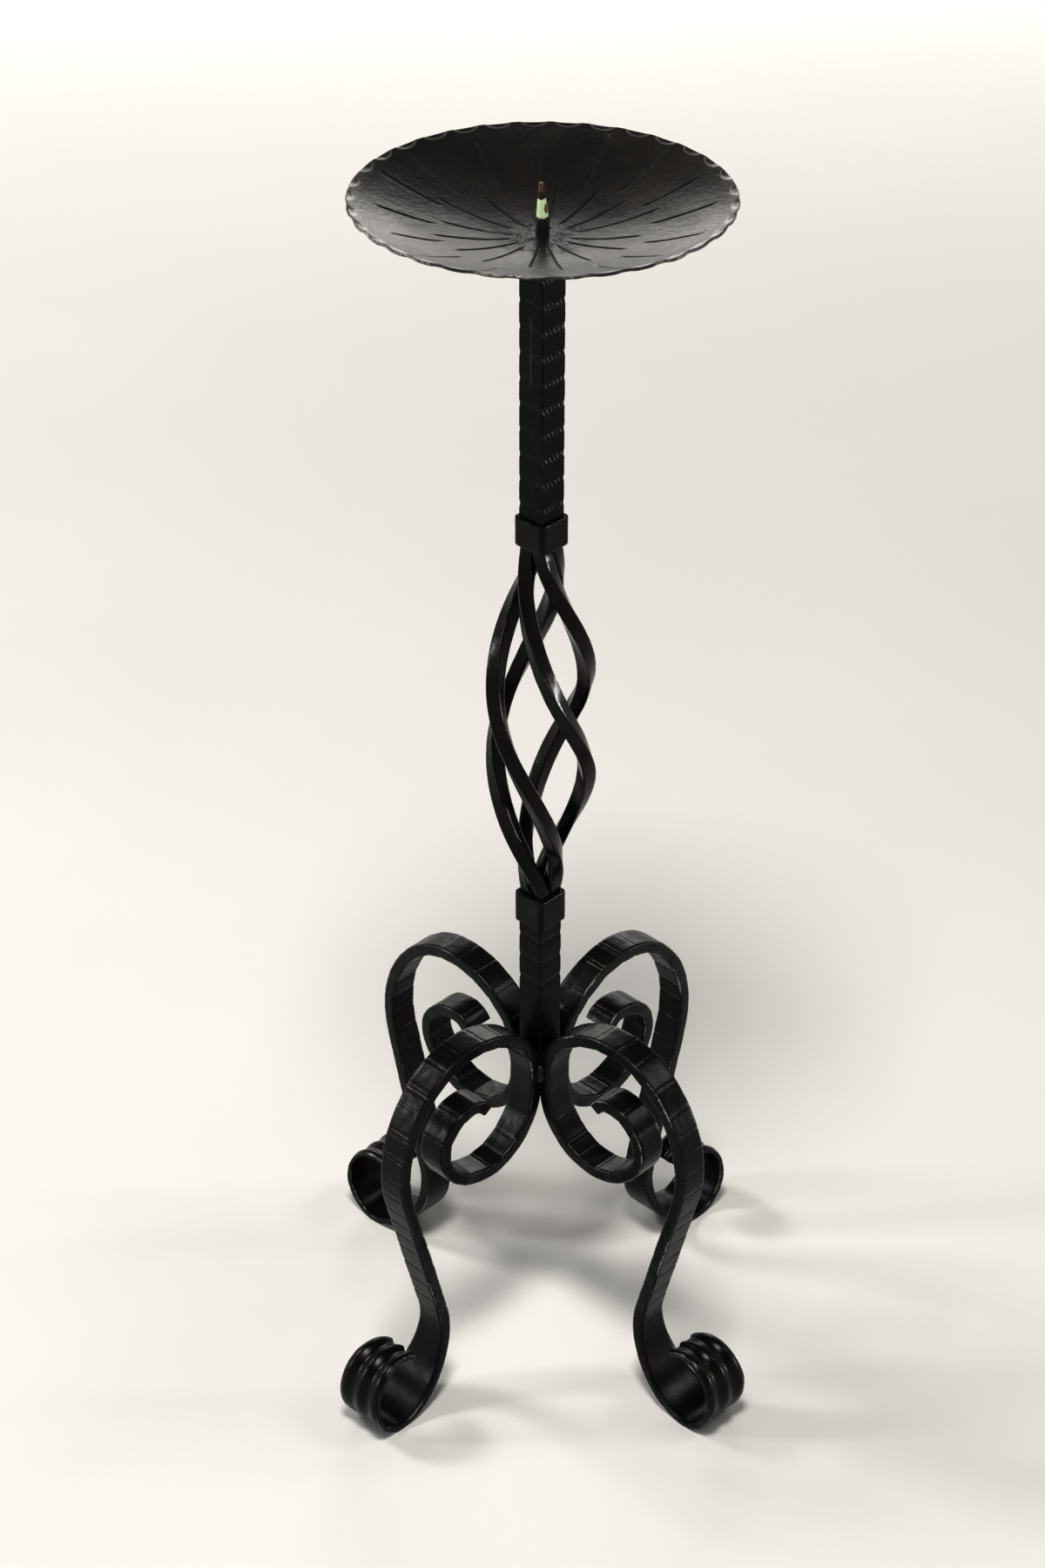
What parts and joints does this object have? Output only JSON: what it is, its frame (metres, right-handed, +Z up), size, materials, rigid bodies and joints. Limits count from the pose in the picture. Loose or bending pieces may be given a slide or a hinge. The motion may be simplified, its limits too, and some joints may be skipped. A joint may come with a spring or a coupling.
{
  "type": "candlestand",
  "caption": "Tall forged iron candlestand: a pricket spike over a dished pan, a square stem with a twisted basket between collars, and scrolled strap legs with curled feet.",
  "frame": {"origin": "on the floor, on the axis of the stem", "axes": "+Z up along the stem; the four legs point along +X, +Y, -X and -Y, and the four faces of the stem face them"},
  "size_m": [0.3608, 0.3608, 0.88],
  "materials": {
    "black_paint": "satin black paint over forged iron, worn through on the edges",
    "pan_paint": "satin black-brown paint over a hammered steel dish, rubbed grey in the middle",
    "spike_iron": "rusty iron with the last of the old paint",
    "weld_metal": "bare weld metal"
  },
  "bodies": {
    "root": {"pricket_spike": "spike_iron", "drip_pan": "pan_paint", "pan_weld": "black_paint", "upper_stem": "black_paint", "upper_collar": "black_paint", "upper_butt_weld": "weld_metal", "basket_rod_right": "black_paint", "basket_rod_rear": "black_paint", "basket_rod_left": "black_paint", "basket_rod_front": "black_paint", "lower_butt_weld": "weld_metal", "lower_collar": "black_paint", "lower_stem": "black_paint", "leg_right": "black_paint", "leg_rear": "black_paint", "leg_left": "black_paint", "leg_front": "black_paint", "leg_weld_front": "black_paint", "leg_weld_right": "black_paint", "leg_weld_rear": "black_paint", "leg_weld_left": "black_paint"}
  },
  "joints": []
}
